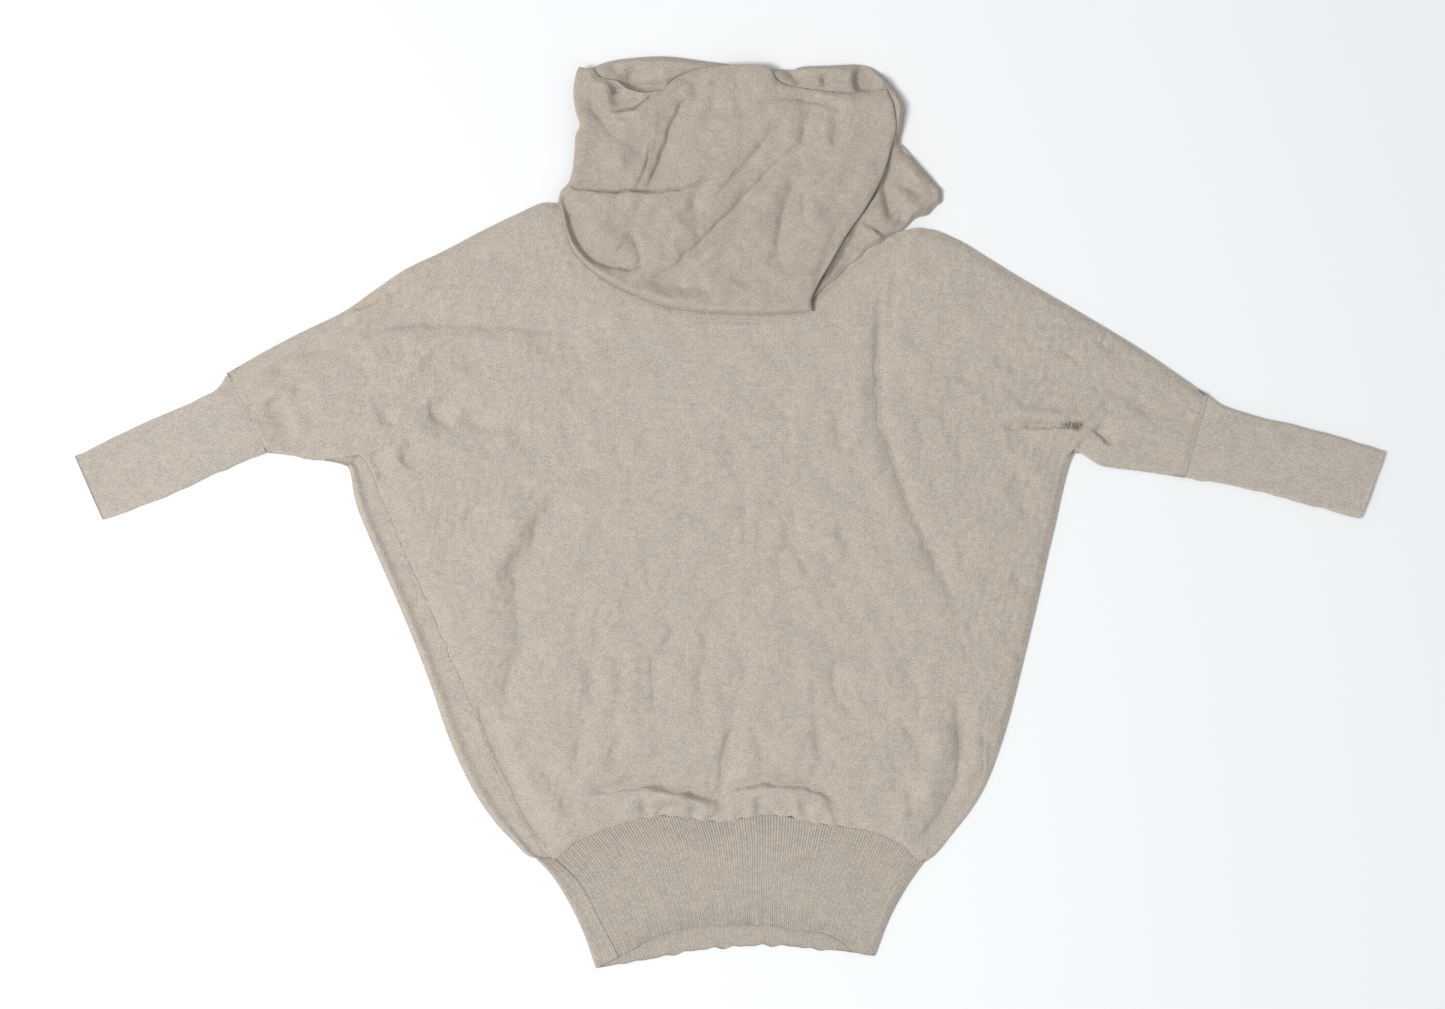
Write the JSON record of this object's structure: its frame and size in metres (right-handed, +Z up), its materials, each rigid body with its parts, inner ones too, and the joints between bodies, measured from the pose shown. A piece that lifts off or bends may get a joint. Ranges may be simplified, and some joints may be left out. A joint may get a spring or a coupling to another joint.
{
  "type": "cowl neck batwing sweater laid flat",
  "caption": "Fine-knit batwing sweater laid flat, with a heaped cowl collar, long ribbed cuffs and a deep ribbed hem band.",
  "frame": {"origin": "centre of the bounding box, on the surface that the sweater lies on", "axes": "+X from cuff to cuff, towards the cuff at the right of the picture; +Y from the hem to the collar; +Z up from the surface, out of the front"},
  "size_m": [1.2424, 0.8649, 0.0197],
  "materials": {
    "knit": "soft matte heather jersey knit, oatmeal and grey",
    "rib": "soft matte fine rib knit, oatmeal and grey"
  },
  "bodies": {
    "root": {"front": "knit", "back": "knit", "cowl_front": "knit", "cowl_back": "knit", "hem_front": "rib", "hem_back": "rib", "left_cuff": "rib", "right_cuff": "rib"}
  },
  "joints": []
}
